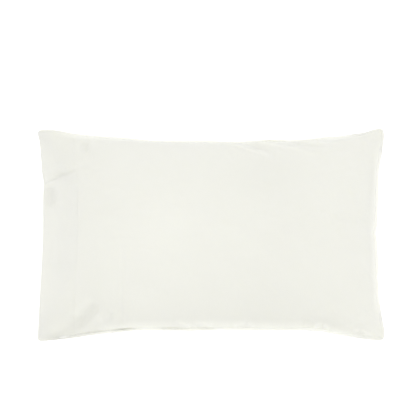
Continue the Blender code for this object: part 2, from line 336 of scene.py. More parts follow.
def has_two_lips(t):
    """Whether the mouth parts the panels here: between the long sides' seams, not on them."""
    return np.abs(t) < SIDE_SEAM - 1e-9


def edge_thickness(s, t):
    """Half the thickness at a spot above the middle of the seam band or of the gap between the lips."""
    from_side, from_end, from_mouth = off_edges(s, t)
    rim = nose(from_side, HALF_BAND) * nose(from_end, HALF_BAND)
    lip = nose(from_mouth, HALF_BAND / 2)
    return HALF_BAND * rim * np.where(has_two_lips(t), (1 + lip) / 2, lip)


def front_height(s, t):
    """The outer face of the front panel."""
    x, y = plan_point(s, t)
    gap = mouth_gap(s, t)
    share = filling(s, t)
    free = smooth_step(0.0, 1.0, share / FOLDS_FREE_AT + gap / GAP_FREES_FOLDS)
    apart = (gap + LIPS_APART) / 2 * has_two_lips(t)
    return seam_height(s, t) + edge_thickness(s, t) + apart + FRONT_CROWN * share + fold_height(x, y) * free


def back_height(s, t):
    """The outer face of the back panel, pressed flat where it rests."""
    apart = (mouth_gap(s, t) + LIPS_APART) / 2 * has_two_lips(t)
    level = seam_height(s, t) - edge_thickness(s, t) - apart - BACK_CROWN * filling(s, t)
    blend = (np.clip(level, -REST_BLEND, REST_BLEND) + REST_BLEND) ** 2 / (4 * REST_BLEND)
    return np.where(level > REST_BLEND, level, blend)


print(f"the mouth opens {1000 * float(mouth_gap(-1.0, 0.0)):.0f} mm at its middle")

# %% [markdown]
# ## A grid of spots
#
# The surface is a grid of rows and columns over s and t. They crowd where there is something small to
# show: at the rounded edges, along the stitch lines, and round the sharpest crease, to which the spots
# are drawn like filings to a magnet. Elsewhere they are 3 mm apart.

# %% Rows and columns
GRID_STEP = 0.0031
RIM_STEPS = (0, 0.00018, 0.0006, 0.0013, 0.0025, 0.0038, 0.0048, SEAM_BAND,
             0.0063, 0.0074, 0.0090, 0.0110, 0.0134, 0.0161)
LIP_STEPS = (0, 0.00009, 0.0003, 0.00065, 0.0018, 0.0036, 0.0060, 0.0088)
HEM_DEPTH = 0.0767  # of flat cloth, from the mouth to the hem's stitches
FLAT_HALF_LENGTH, FLAT_HALF_WIDTH = 0.375, 0.250  # a flat case is 75 x 50 cm
HEM_S = -1 + HEM_DEPTH / FLAT_HALF_LENGTH
HEM_STEPS = (-0.0024, -0.0009, 0, 0.0009, 0.0024)


def graded(half, from_low, from_high, lines=()):
    """Shares from -1 to 1: set distances at both ends and round each line, even steps between."""
    fixed = [-half + d for d in from_low] + [half - d for d in reversed(from_high)]
    groups = [fixed[: len(from_low)]] + [[line * half + d for d in HEM_STEPS] for line in lines]
    groups.append(fixed[len(from_low) :])
    places = list(groups[0])
    for group in groups[1:]:
        room = group[0] - places[-1]
        count = max(round(room / GRID_STEP), 1)
        places += [places[-1] + room * (k + 1) / count for k in range(count - 1)] + group
    return np.array(places) / half


rows = graded(HALF_LENGTH, LIP_STEPS, RIM_STEPS, [HEM_S])
columns = graded(HALF_WIDTH, RIM_STEPS, RIM_STEPS)
print(f"{len(rows)} rows by {len(columns)} columns on each panel")

# %% [markdown]
# ## Sharp creases
#
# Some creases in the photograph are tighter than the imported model's folds: the one that starts at the
# mouth, the crests by the far side, the fold of the near corner, and the small ones along the near seam.
# A trough has a low ridge on both sides, because the cloth it swallows bulges beside it. The grid is
# pulled towards the sharpest, so that a few columns of spots fall inside it.

# %% Crease table
CREASES = [Fold(*row) for row in (
    ("mouth crease, at the lip", -0.350, 0.1095, -0.306, 0.1300, 0.0028, -0.0015),
    ("mouth crease, running in", -0.316, 0.1262, -0.2805, 0.1274, 0.0028, -0.0010),
    ("its end, fading", -0.288, 0.1268, -0.252, 0.1340, 0.0050, -0.0005),
    ("hollow by the mouth", -0.337, 0.092, -0.334, 0.050, 0.0090, -0.0026),
    ("dimple at the far side", -0.265, 0.202, -0.262, 0.172, 0.0078, -0.0020),
    ("bulge beside it", -0.250, 0.212, -0.240, 0.200, 0.0060, 0.0014),
    ("far crest 1, edge end", 0.014, 0.1940, 0.072, 0.1670, 0.0044, 0.0028),
    ("far crest 1", 0.054, 0.1750, 0.126, 0.1405, 0.0048, 0.0019),
    ("trough over crest 1", 0.078, 0.1870, 0.122, 0.1600, 0.0046, -0.0014),
    ("far crest 2, edge end", 0.070, 0.2040, 0.134, 0.1765, 0.0042, 0.0030),
    ("far crest 2", 0.116, 0.1830, 0.188, 0.1635, 0.0044, 0.0028),
    ("trough under crest 4", 0.166, 0.1950, 0.240, 0.1720, 0.0050, -0.0004),
    ("edge blob", 0.104, 0.2080, 0.168, 0.2090, 0.0036, 0.0034),
    ("far crest 4", 0.178, 0.2025, 0.250, 0.1800, 0.0044, 0.0034),
    ("far crest 5, faint", 0.180, 0.1690, 0.226, 0.1370, 0.0060, 0.0008),
    ("near corner fold, upper end", -0.234, -0.178, -0.274, -0.211, 0.0085, -0.0044),
    ("near corner fold, lower end", -0.258, -0.203, -0.324, -0.240, 0.0095, -0.0022),
    ("second near fold", -0.209, -0.209, -0.2055, -0.196, 0.0044, -0.0014),
    ("near crest 1", -0.076, -0.208, -0.039, -0.217, 0.0026, 0.0022),
    ("near crest 2", -0.039, -0.210, 0.007, -0.215, 0.0026, 0.0022),
    ("near crest 3, going up", 0.0445, -0.215, 0.075, -0.2105, 0.0028, 0.0024),
    ("near crest 3, coming down", 0.075, -0.2105, 0.091, -0.218, 0.0028, 0.0024),
    ("near ear crest 1, going up", 0.212, -0.219, 0.233, -0.213, 0.0028, 0.0024),
    ("near ear crest 1, coming down", 0.233, -0.213, 0.246, -0.2225, 0.0028, 0.0024),
    ("near ear crest 2, going up", 0.295, -0.228, 0.310, -0.224, 0.0028, 0.0024),
    ("near ear crest 2, coming down", 0.310, -0.224, 0.336, -0.232, 0.0028, 0.0024),
    ("hollow before the near ear", 0.186, -0.2132, 0.216, -0.2148, 0.0046, -0.0021),
    ("between the near ear's crests", 0.244, -0.2185, 0.292, -0.2300, 0.0042, -0.0014),
    ("tuck at the near ear", 0.284, -0.2275, 0.322, -0.2302, 0.0028, -0.0022),
)]
RIDGE_SHARE, RIDGE_AT, RIDGE_WIDTH = 0.18, 2.3, 1.3  # the ridges beside a trough, in its half widths
CREASE_TAPER = 0.25  # the share of a crease's run over which each end fades in
PAST_START, PAST_END = -0.02, 1.05  # where along its run it has faded out
AT_THE_LIP = -0.33  # a crease that starts nearer the mouth than this has its full depth from the start
PULL, PULL_REACH = 0.62, 0.012  # how strongly a sharp crease gathers the grid, and how far away


def crease_height(x, y):
    """Every sharp crease, as a height along the surface's outward direction."""
    total = np.zeros_like(x)
    for crease in CREASES:
        along, away = along_and_away(crease, x, y)
        ends = smooth_step(PAST_START, CREASE_TAPER, along) if crease.x0 > AT_THE_LIP else 1.0
        fade = ends * smooth_step(PAST_END, 1 - CREASE_TAPER, along)
        near = away / crease.half_width
        ridge = RIDGE_SHARE * bump_at(near, RIDGE_AT, RIDGE_WIDTH) if crease.depth < 0 else 0
        total += crease.depth * fade * (bump_at(near, 0, 1) - ridge)
    return total


def gathered(s, t):
    """The grid with its spots drawn across towards the first crease, the sharpest."""
    crease = CREASES[0]
    x, y = plan_point(s, t)
    along, away = along_and_away(crease, x, y)
    line_y = crease.y0 + np.clip(along, 0, 1) * (crease.y1 - crease.y0)
    pull = PULL * bump_at(away, 0, PULL_REACH) * (line_y - y)
    return s, t + pull / HALF_WIDTH


grid_s, grid_t = gathered(*np.meshgrid(rows, columns, indexing="ij"))
print("spots on the front panel:", grid_s.size)

# %% [markdown]
# ## Letting the cloth settle
#
# The heights so far are smooth, as drawn. Real cloth was cut flat, 75 x 50 cm, and it crumples a little
# wherever the filled shape leaves it no room: along the seams and at the ears. Blender's cloth
# simulation finds those puckers. A coarse copy starts at the drawn shape, with the flat cut as the
# shape its threads want to keep, and pressure stands for the filling. What rests on the surface and
# the lips are pinned. Only the fine part of the movement is kept, and it is capped, so the broad shape
# stays as measured.

# %% Coarse copy for the simulation
SETTLE_CELLS = (128, 86)  # along and across: cells of 5.6 mm
FLAT_APART = 0.0010  # the flat panels lie this far each side of the middle plane


def shared_indices(count_s, count_t):
    """Vertex numbers of two grids that share their rim on three sides."""
    front = np.arange(count_s * count_t).reshape(count_s, count_t)
    back = front + front.size
    rim = np.zeros_like(front, bool)
    rim[:, 0] = rim[:, -1] = rim[-1, :] = True
    back[rim] = front[rim]
    return front, back


def grid_quads(index, facing_up):
    """Quads over a grid of vertex numbers; the rows run along +X, the columns along +Y."""
    quads = np.stack([index[:-1, :-1], index[1:, :-1], index[1:, 1:], index[:-1, 1:]], -1).reshape(-1, 4)
    return quads if facing_up else quads[:, ::-1]


def panels_object(name, front, back, points):
    """A mesh of the two panels alone, without the numbers that no face uses."""
    quads = np.concatenate([grid_quads(front, True), grid_quads(back, False)])
    used, new = np.unique(quads, return_inverse=True)
    return mesh_object(name, points[used].tolist(), [], new.reshape(-1, 4).tolist()), used


def both_panels(x, y, levels):
    """The points of two grids at the same places seen from above, the front panel's first."""
    return np.concatenate([np.stack([x, y, 0 * x + level], -1).reshape(-1, 3) for level in levels])


settle_s, settle_t = np.meshgrid(*(np.linspace(-1, 1, n + 1) for n in SETTLE_CELLS), indexing="ij")
settle_front, settle_back = shared_indices(*settle_s.shape)
settle_x, settle_y = plan_point(settle_s, settle_t)
drawn = both_panels(settle_x, settle_y, [height(settle_s, settle_t) for height in (front_height, back_height)])
flat_x, flat_y = settle_s * FLAT_HALF_LENGTH, settle_t * FLAT_HALF_WIDTH
cut_flat = both_panels(flat_x, flat_y, (FLAT_APART, -FLAT_APART))
rim_numbers = np.intersect1d(settle_front, settle_back)
cut_flat[rim_numbers, 2] = 0.0
print(f"coarse copy: {len(drawn) - len(rim_numbers)} points")

# %% Settling
FRAMES = 20
CLOTH = dict(  # a light cotton that hardly stretches, with the filling's pressure inside
    quality=6, mass=0.12, tension_stiffness=25, compression_stiffness=25, shear_stiffness=4, bending_stiffness=0.08,
    air_damping=2.0, use_pressure=True, uniform_pressure_force=4.0,
)
HELD_LIPS = -0.965  # share s below which the lips are pinned
HELD_BELOW = 0.004  # height under which the cloth is pinned to the surface


def settle():
    """How far each point of the coarse copy moves."""
    copy, used = panels_object("settling", settle_front, settle_back, drawn)
    copy.shape_key_add(name="drawn")
    flat_key = copy.shape_key_add(name="cut flat")
    flat_key.data.foreach_set("co", cut_flat[used].ravel())
    all_s = np.tile(settle_s.ravel(), 2)[used]
    held = copy.vertex_groups.new(name="held")
    fixed = (drawn[used, 2] < HELD_BELOW) | (all_s < HELD_LIPS)
    held.add(np.flatnonzero(fixed).tolist(), 1.0, "REPLACE")
    cloth = copy.modifiers.new("settling", "CLOTH")
    for key, value in CLOTH.items():
        setattr(cloth.settings, key, value)
    cloth.settings.rest_shape_key = flat_key
    cloth.settings.vertex_group_mass = "held"
    cloth.settings.effector_weights.gravity = 0.0
    cloth.collision_settings.use_collision = False
    cloth.point_cache.frame_start, cloth.point_cache.frame_end = 1, FRAMES
    for frame_number in range(1, FRAMES + 1):
        scene.frame_set(frame_number)
    settled = copy.evaluated_get(bpy.context.evaluated_depsgraph_get()).to_mesh()
    places = np.empty(len(used) * 3, np.float32)
    settled.vertices.foreach_get("co", places)
    moved = np.zeros_like(drawn)
    moved[used] = places.reshape(-1, 3) - drawn[used]
    bpy.data.objects.remove(copy)
    scene.frame_set(1)
    return moved


moved = settle()
if moved is not None:
    steps = np.linalg.norm(moved, axis=1)
    print(f"the cloth moved {1000 * steps.mean():.1f} mm on average, {1000 * steps.max():.1f} mm at most")

# %% Fine part of the movement
BROAD = 8.0  # cells: movement broader than this is left out
CAP = 0.006  # metres that a spot may move
KEEP = 0.85  # share of the fine movement that is kept
LIPS_FADE = (-0.97, -0.80)  # shares s between which it comes in, since the lips were held
EAR_FADE = 0.86  # and it goes out towards the ears' tips, which keep their measured place
Calm = namedtuple("Calm", "name x y reach")  # places where the photograph shows the cloth smooth
CALM = (
    Calm("middle of the sewn end", 0.300, 0.000, 0.050),
    Calm("near side, right of the middle", 0.197, -0.170, 0.042),
)
CALMED = 0.85  # the share of the movement that goes there


def blurred(field, reach, axis):
    """A Gaussian blur along one way of a grid."""
    offsets = np.arange(-int(3 * reach), int(3 * reach) + 1)
    weights = np.exp(-0.5 * (offsets / reach) ** 2)
    padding = [(0, 0)] * field.ndim
    padding[axis] = (len(offsets) // 2,) * 2
    padded = np.pad(field, padding, mode="reflect")
    size = field.shape[axis]
    return sum(w * np.take(padded, range(k, k + size), axis) for k, w in enumerate(weights / weights.sum()))


def fine_movement(index):
    """The capped fine movement of one panel, on the coarse grid: what is broad along either way is left out."""
    fine = moved[index] * KEEP
    for axis in (0, 1):
        fine = fine - blurred(fine, BROAD, axis)
    size = np.linalg.norm(fine, axis=-1, keepdims=True)
    off_the_lips = smooth_step(*LIPS_FADE, settle_s)
    at_the_ears = smooth_step(EAR_FADE, 1.0, np.abs(settle_s)) * smooth_step(EAR_FADE, 1.0, np.abs(settle_t))
    kept_share = off_the_lips * (1 - at_the_ears)
    for calm in CALM:
        away = np.hypot(settle_x - calm.x, settle_y - calm.y)
        kept_share = kept_share * (1 - CALMED * bump_at(away, 0, calm.reach))
    return fine / np.maximum(size, 1e-9) * CAP * np.tanh(size / CAP) * kept_share[..., None]


def cubic_weights(share):
    """The four weights of a smooth cubic spline between grid spots."""
    return ((1 - share) ** 3 / 6, (3 * share**3 - 6 * share**2 + 4) / 6,
            (-3 * share**3 + 3 * share**2 + 3 * share + 1) / 6, share**3 / 6)


def spread_over(field, s, t):
    """A coarse grid's field read at any spots, smoothly."""
    total = 0.0
    at = [(1 + share) / 2 * (n - 1) for share, n in zip((s, t), field.shape)]
    low = [np.clip(np.floor(a).astype(int), 0, n - 2) for a, n in zip(at, field.shape)]
    weights = [cubic_weights(a - b) for a, b in zip(at, low)]
    for i in range(4):
        row = np.clip(low[0] + i - 1, 0, field.shape[0] - 1)
        for j in range(4):
            column = np.clip(low[1] + j - 1, 0, field.shape[1] - 1)
            total = total + field[row, column] * (weights[0][i] * weights[1][j])[..., None]
    return total


if moved is None:
    front_move = back_move = np.zeros((*settle_s.shape, 3))
else:
    front_move, back_move = fine_movement(settle_front), fine_movement(settle_back)
    kept = np.linalg.norm(front_move, axis=-1)
    print(f"kept on the front: {1000 * kept.mean():.2f} mm on average, {1000 * kept.max():.1f} mm at most")

# %% [markdown]
# ## Small relief
#
# On top of the settled shape comes what the eye takes for sewn cloth: a ditch along each row of
# stitches, short puckers that leave it at right angles, the step where the hem's second layer ends, the
# faint edge of the flap inside, and slow unevenness from washing. All of it is added along the
# surface's outward direction, from the place of a spot on the flat cloth.

# %% Relief of seams and hem
DITCH_DEPTH, DITCH_WIDTH = 0.00016, 0.0010
PUCKER_HEIGHT, PUCKER_PITCH, PUCKER_REACH = 0.00050, 0.0125, 0.012
PUCKER_COMES_IN = (-0.001, 0.003)  # from the stitches
BAND_PUCKER = 0.30  # the share of a pucker that crosses the seam's band, between its edge and the stitches
OFF_THE_EDGE, UP_TO_THE_STITCHES = (0.0015, 0.004), (0.001, -0.002)
Drift = namedtuple("Drift", "size wavelength turn")
PITCH_DRIFTS = (Drift(1.8, 0.071, 1), Drift(1.1, 0.043, 2))
MEAN_STRENGTH, STRENGTH_SWING, SWING_LENGTH = 0.55, 0.45, 0.19
BACK_PHASE, END_PHASE, HEM_PHASE = 1.3, 2.2, 5.0  # so that no two seams pucker alike
HEM_STEP, HEM_DITCH, HEM_PUCKER = 0.00032, 0.00022, 0.00014
HALF_STEP_WIDTH, HEM_PUCKER_REACH = 0.0012, 0.009
FLAP_END_X, FLAP_END_DIP, FLAP_END_WIDTH = -0.1835, 0.0006, 0.0048
FLAP_SHOWS_FROM, FLAP_SHOWS_TO = (-0.99, -0.93), (-0.25, -0.45)  # shares t between which its end comes and goes
TUCK_LINE, TUCK_WIDTH = SEAM_BAND - 0.0007, 0.0016  # from the near side's edge
Tuck = namedtuple("Tuck", "x reach depth")  # deeper places of the near side's ditch
TUCKS = [Tuck(*row) for row in (
    (-0.245, 0.045, 0.0025),
    (-0.180, 0.021, 0.0058), (-0.080, 0.024, 0.0042), (-0.015, 0.024, 0.0021),
    (0.067, 0.008, 0.0010), (0.165, 0.020, 0.0008), (0.308, 0.010, 0.0026),
)]


def puckers(along, phase):
    """Short waves along a seam, uneven in pitch and height."""
    drift = sum(d.size * np.sin(2 * pi * along / d.wavelength + d.turn * phase) for d in PITCH_DRIFTS)
    strength = MEAN_STRENGTH + STRENGTH_SWING * np.sin(2 * pi * along / SWING_LENGTH + 3 * phase)
    return np.sin(2 * pi * along / PUCKER_PITCH + drift + phase) * strength


def seam_relief(along, away, phase):
    """The ditch and puckers of one seam, from the distance to the case's edge."""
    from_stitches = away - SEAM_BAND
    ditch = -DITCH_DEPTH * bump_at(from_stitches, 0, DITCH_WIDTH)
    inside = smooth_step(*PUCKER_COMES_IN, from_stitches) * np.exp(-np.maximum(from_stitches, 0) / PUCKER_REACH)
    on_band = BAND_PUCKER * smooth_step(*OFF_THE_EDGE, away) * smooth_step(*UP_TO_THE_STITCHES, from_stitches)
    return ditch + PUCKER_HEIGHT * puckers(along, phase) * (inside + on_band)


def hem_relief(s, t):
    """The hem's second layer, its stitches' ditch and its puckers."""
    from_line = (s - HEM_S) * FLAT_HALF_LENGTH
    step = HEM_STEP * smooth_step(HALF_STEP_WIDTH, -HALF_STEP_WIDTH, from_line)
    ditch = -HEM_DITCH * bump_at(from_line, 0, DITCH_WIDTH)
    pucker = HEM_PUCKER * puckers(t * FLAT_HALF_WIDTH, HEM_PHASE) * bump_at(from_line, 0, HEM_PUCKER_REACH)
    return step + ditch + pucker


def flap_relief(x, t):
    """The end of the flap inside, which shows through the front panel near the near side."""
    there = smooth_step(*FLAP_SHOWS_FROM, t) * smooth_step(*FLAP_SHOWS_TO, t)
    return -there * FLAP_END_DIP * bump_at(x, FLAP_END_X, FLAP_END_WIDTH)


def tuck_depth(t, x):
    """The near side's deeper tucks, beside its seam."""
    near_ditch = (t < 0) * bump_at(off_edges(0, t)[0], TUCK_LINE, TUCK_WIDTH)
    return near_ditch * sum(tuck.depth * bump_at(x, tuck.x, tuck.reach) for tuck in TUCKS)


print(f"ditches of {1000 * DITCH_DEPTH:.2f} mm, puckers of {1000 * PUCKER_HEIGHT:.1f} mm, {len(TUCKS)} deeper tucks")

# %% Unevenness of the washed cloth
WAVES = np.random.RandomState(11)  # a fixed seed: the same cloth in every run
Roll = namedtuple("Roll", "count shortest longest height")
ROLLS = (Roll(26, 0.060, 0.150, 0.00070), Roll(40, 0.016, 0.045, 0.00009))


def slow_waves(along, across):
    """Many faint waves of random direction and length, added up."""
    total = np.zeros_like(along)
    for roll in ROLLS:
        length = WAVES.uniform(roll.shortest, roll.longest, roll.count)
        turn, phase = WAVES.uniform(0, pi, roll.count), WAVES.uniform(0, 2 * pi, roll.count)
        for size, angle, start in zip(length, turn, phase):
            total += roll.height / np.sqrt(roll.count / 2) * np.sin(
                2 * pi * (along * cos(angle) + across * sin(angle)) / size + start)
    return total


print("slow waves on each panel:", sum(roll.count for roll in ROLLS))

# %% Finished panels
BODY = (0.008, 0.030)  # distances from the seam between which the slow waves come in
EDGE_FADE = 0.0016  # within this distance of an edge all relief goes out
THREE_SIDES = ((slice(None), 0), (slice(None), -1), (-1, slice(None)))  # of a grid: where two sheets meet


def outward(points):
    """Unit directions that point up out of a grid of points."""
    across_rows, across_columns = np.gradient(points, axis=0), np.gradient(points, axis=1)
    direction = np.cross(across_rows, across_columns)
    return direction / np.maximum(np.linalg.norm(direction, axis=-1, keepdims=True), 1e-12)


def relief(s, t, x, y, is_front):
    """All small relief of a panel, as a height along its outward direction."""
    phase = 0.0 if is_front else BACK_PHASE
    flat_along, flat_across = s * FLAT_HALF_LENGTH, t * FLAT_HALF_WIDTH
    from_side, from_end, from_mouth = off_edges(s, t)
    total = seam_relief(flat_along, from_side, phase + np.sign(t))
    total = total + seam_relief(flat_across, from_end, phase + END_PHASE)
    from_seam = np.minimum(from_side, from_end)
    total += hem_relief(s, t) + slow_waves(flat_along, flat_across) * smooth_step(*BODY, from_seam)
    if is_front:
        total += flap_relief(x, t) + crease_height(x, y) - tuck_depth(t, x)
    return total * smooth_step(0.0, EDGE_FADE, from_seam) * smooth_step(0.0, EDGE_FADE, from_mouth)


def panel_points(height, move, is_front):
    """One panel's finished outer surface, on the fine grid."""
    x, y = plan_point(grid_s, grid_t)
    points = np.stack([x, y, height(grid_s, grid_t)], -1) + spread_over(move, grid_s, grid_t)
    direction = outward(points) * (1 if is_front else -1)
    return points + direction * relief(grid_s, grid_t, x, y, is_front)[..., None]


front_points = panel_points(front_height, front_move, True)
back_points = panel_points(back_height, back_move, False)
for place in THREE_SIDES:
    front_points[place] = back_points[place] = (front_points[place] + back_points[place]) / 2
back_points[..., 2] = np.maximum(back_points[..., 2], 0.0)
print(f"front panel: highest point {1000 * front_points[..., 2].max():.1f} mm")

# %% [markdown]
# ## The pocket of the mouth
#
# The pocket's ceiling is the front panel's inner face, so it is read from that panel, a cloth's
# thickness below it. Its floor is the flap, which lies on the back panel and then climbs over the
# filling till it meets the ceiling. Both start at the lips' rounded edges.

# %% Pocket
POCKET_ROWS = 18
SEAM_COLUMN = RIM_STEPS.index(SEAM_BAND)  # the pocket reaches from seam to seam
pocket_columns = slice(SEAM_COLUMN, len(columns) - SEAM_COLUMN)
mouth_t = grid_t[0, pocket_columns]
side_share = smooth_step(GAP_SHUT_AT, POCKET_FULL_TO, np.abs(mouth_t))
reach = POCKET_DEPTH * (POCKET_AT_SIDES + (1 - POCKET_AT_SIDES) * side_share)


def read_column(points, s):
    """The places at one share s per column of a panel."""
    picked = np.empty((len(s), 3))
    for k, (share, column) in enumerate(zip(s, range(pocket_columns.start, pocket_columns.stop))):
        picked[k] = [np.interp(share, grid_s[:, column], points[:, column, axis]) for axis in range(3)]
    return picked


def pocket_row(distance):
    """The ceiling and floor at a distance behind the lips, one place per column."""
    s = -1 + distance / HALF_LENGTH
    depth = distance / reach
    thick = HALF_BAND * nose(distance, HALF_BAND / 2)
    ceiling, floor = read_column(front_points, s), read_column(back_points, s)
    ceiling[:, 2] -= thick * (1 + LIP_THICKENS * depth)
    floor[:, 2] += thick
    climb = smooth_step(FLAP_CLIMBS_AT / POCKET_DEPTH, 1.0, depth)[:, None]
    floor = floor + (ceiling - floor) * climb
    for side in (0, -1):
        ceiling[side] = floor[side] = (ceiling[side] + floor[side]) / 2
    return ceiling, floor


pocket_distances = [np.full_like(reach, d) for d in LIP_STEPS[1:]]
pocket_distances += [LIP_STEPS[-1] + (reach - LIP_STEPS[-1]) * (k + 1) / POCKET_ROWS for k in range(POCKET_ROWS)]
pocket = [pocket_row(distance) for distance in pocket_distances]
print(f"the pocket goes {1000 * reach.max():.0f} mm in at its middle, {1000 * reach.min():.0f} mm by the seams")

# %% [markdown]
# ## Painted light and shade of the folds
#
# The crests of the folds are painted lighter and their tucks and troughs painted darker, and a short
# table of soft spots paints more light and shade on the front panel. Here that is one number for each
# spot of the front panel, worked out from the crease table and the table of spots. The mesh carries it
# as an attribute that the material reads. A painted image would look the same, but wouldn't follow
# when a row of a table is changed.

# %% Painted light and shade of the folds
CREST_FULL, TUCK_FULL = 0.003, 0.0021  # a crest this high, or a tuck this deep, counts in full
CREST_MOST, TROUGH_MOST = 1.2, 0.31
FOLD_PAINTED_LIGHT_AND_SHADE = 0.07  # the share by which the crests are painted lighter and the tucks painted darker
SEAM_PAINTED_LIGHT = 0.12  # painted light: the turned seams and a band inside them are made lighter
SPREAD_TO, CORNER_PAINTED_SHADE = 0.020, 0.11  # painted shade within this reach of the near side, taking back the seams' painted light and more, where the fold of the near corner takes the seam in,
TUCKED_FROM, TUCKED_TO = (-0.352, -0.320), (-0.205, -0.245)  # which comes and goes between these places
PAINTED_SHADING_SPOTS = [Patch(*row) for row in (  # painted light and shade: by how much each place is made lighter than plain cloth
    ("far ear at the mouth", -0.310, 0.186, 0.060, 0.060, -0.026),
    ("hollow by the mouth", -0.341, 0.068, 0.011, 0.024, -0.022),
    ("middle of the hem", -0.284, -0.015, 0.030, 0.075, 0.012),
    ("near corner at the mouth", -0.318, -0.214, 0.040, 0.038, -0.020),
    ("near ear's rim at the mouth", -0.312, -0.237, 0.014, 0.006, -0.035),
    ("beside the near corner's fold", -0.262, -0.165, 0.035, 0.035, -0.012),
    ("in the near corner's fold", -0.280, -0.222, 0.024, 0.024, -0.026),
    ("between that fold and the seam", -0.246, -0.207, 0.016, 0.016, -0.026),
    ("near side, before the flap's end", -0.205, -0.198, 0.034, 0.022, -0.020),
    ("left of the middle", -0.106, -0.064, 0.105, 0.105, 0.019),
    ("right of the middle, far half", 0.113, 0.105, 0.085, 0.085, -0.024),
    ("right of the middle", 0.165, -0.035, 0.070, 0.070, -0.010),
    ("right of the middle, near side", 0.110, -0.180, 0.065, 0.055, -0.015),
    ("near side, before the ear", 0.235, -0.2150, 0.055, 0.0090, -0.018),
    ("inside the sewn end's seam", 0.326, -0.030, 0.018, 0.120, 0.019),
)]


def painted_light_and_shade(s, t):
    """The painted light and shade of the front panel: the share by which it is lighter than plain cloth, at each spot.
    """
    x, y = plan_point(s, t)
    folds = np.clip(crease_height(x, y) / CREST_FULL, -TROUGH_MOST, CREST_MOST) - tuck_depth(t, x) / TUCK_FULL
    near_corner = (t < 0) * smooth_step(*TUCKED_TO, x) * smooth_step(*TUCKED_FROM, x)
    corner_shade_mask = near_corner * smooth_step(SPREAD_TO, 0.003, off_edges(s, t)[0])
    return FOLD_PAINTED_LIGHT_AND_SHADE * folds + patches(PAINTED_SHADING_SPOTS, x, y) - CORNER_PAINTED_SHADE * corner_shade_mask


painted_shading = painted_light_and_shade(grid_s, grid_t)
print(f"the folds change the cloth's tone by {100 * painted_shading.min():.0f} to {100 * painted_shading.max():.0f} %")

# %% [markdown]
# ## One closed mesh
#
# Panels, rim, lips and pocket become one mesh that shares its vertices where the cloth is one, so no
# gap can open. Its UV map is the flat cloth in metres: the front panel, then the back panel beyond the
# far side, with the turned-in hems beyond the mouth. A weave laid on it keeps its size everywhere.

# %% Sheets of the case
UV_MARGIN = 0.10  # room beyond the mouth for the turned-in cloth
panel_shape = grid_s.shape
front_index, back_index = shared_indices(*panel_shape)
side_columns = np.ones(panel_shape[1], bool)
side_columns[SEAM_COLUMN + 1 : panel_shape[1] - SEAM_COLUMN - 1] = False
back_index[0, side_columns] = front_index[0, side_columns]

pocket_shape = (len(pocket) + 1, len(mouth_t))
ceiling_index = 2 * grid_s.size + np.arange(pocket_shape[0] * pocket_shape[1]).reshape(pocket_shape)
floor_index = ceiling_index + ceiling_index.size
ceiling_index[0], floor_index[0] = front_index[0, pocket_columns], back_index[0, pocket_columns]
for closed in THREE_SIDES:
    floor_index[closed] = ceiling_index[closed]

nothing = np.zeros((1, pocket_shape[1], 3))
case_points = np.concatenate(
    [front_points.reshape(-1, 3), back_points.reshape(-1, 3)]
    + [np.concatenate([nothing, np.array([row[k] for row in pocket])]).reshape(-1, 3) for k in (0, 1)]
)
# The painted light and shade lies on the front panel's spots only.
point_painted_shading = np.zeros(len(case_points))
point_painted_shading[: grid_s.size] = painted_shading.ravel()
flat_u, flat_v = (grid_s + 1) * FLAT_HALF_LENGTH + UV_MARGIN, (grid_t + 1) * FLAT_HALF_WIDTH
pocket_u = UV_MARGIN - np.concatenate([0 * reach[None], np.array(pocket_distances)])
pocket_v = np.broadcast_to((mouth_t + 1) * FLAT_HALF_WIDTH, pocket_shape)
both_widths = 4 * FLAT_HALF_WIDTH
sheets = (  # vertex numbers, faces up or not, u, v
    (front_index, True, flat_u, flat_v),
    (back_index, False, flat_u, both_widths - flat_v),
    (ceiling_index, False, pocket_u, pocket_v),
    (floor_index, True, pocket_u, both_widths - pocket_v),
)
print(f"{len(case_points)} places for {len(sheets)} sheets")

# %% Mesh of the case
def case_mesh(name):
    """The mesh object of the whole case, with its UV map."""
    faces, corners_uv = [], []
    for index, facing_up, u, v in sheets:
        numbers = np.arange(index.size).reshape(index.shape)
        for quad, spot in zip(grid_quads(index, facing_up), grid_quads(numbers, facing_up)):
            keep = [k for k in range(4) if quad[k] != quad[k - 1]]
            if len(keep) > 2:
                faces.append([int(quad[k]) for k in keep])
                corners_uv += [(u.flat[spot[k]], v.flat[spot[k]]) for k in keep]
    used, new = np.unique(np.concatenate(faces), return_inverse=True)
    bounds = np.cumsum([0] + [len(f) for f in faces])
    new_faces = [new[a:b].tolist() for a, b in zip(bounds, bounds[1:])]
    made = mesh_object(name, case_points[used].tolist(), [], new_faces)
    uv_map = made.data.uv_layers.new(name="flat_cloth")
    uv_map.uv.foreach_set("vector", np.array(corners_uv, np.float32).ravel())
    # the painted light and shade of the folds and spots, for the material
    tone = made.data.attributes.new("painted_light_and_shade", "FLOAT", "POINT")
    tone.data.foreach_set("value", point_painted_shading[used].astype(np.float32))
    made.data.shade_smooth()
    return made


cloth_piece = case_mesh("pillowcase_cloth")
case_data = cloth_piece.data
loop_edges = np.empty(len(case_data.loops), np.int32)
case_data.loops.foreach_get("edge_index", loop_edges)
unshared = int((np.bincount(loop_edges, minlength=len(case_data.edges)) != 2).sum())
print(f"{len(case_data.loops) - 2 * len(case_data.polygons)} triangles, edges not shared by two faces: {unshared}")

# %% [markdown]
# ## Stitches
#
# A hem and a seam are held by rows of small stitches, one every 3 mm. Placing some two thousand by hand
# would be hopeless, and a pattern painted on would vanish at the outline. Geometry Nodes resample each
# row's path to the stitch pitch and put one small rounded stitch on every point, lying along the row and
# flat on the cloth, each turned by a hair from a fixed seed.

# %% Paths of the stitch rows
STITCH_SEAT = 0.00012  # how far a stitch's middle stands over the ditch
seam_end_row = len(rows) - 1 - SEAM_COLUMN
hem_row = int(np.argmin(np.abs(rows - HEM_S)))
far_column = len(columns) - 1 - SEAM_COLUMN


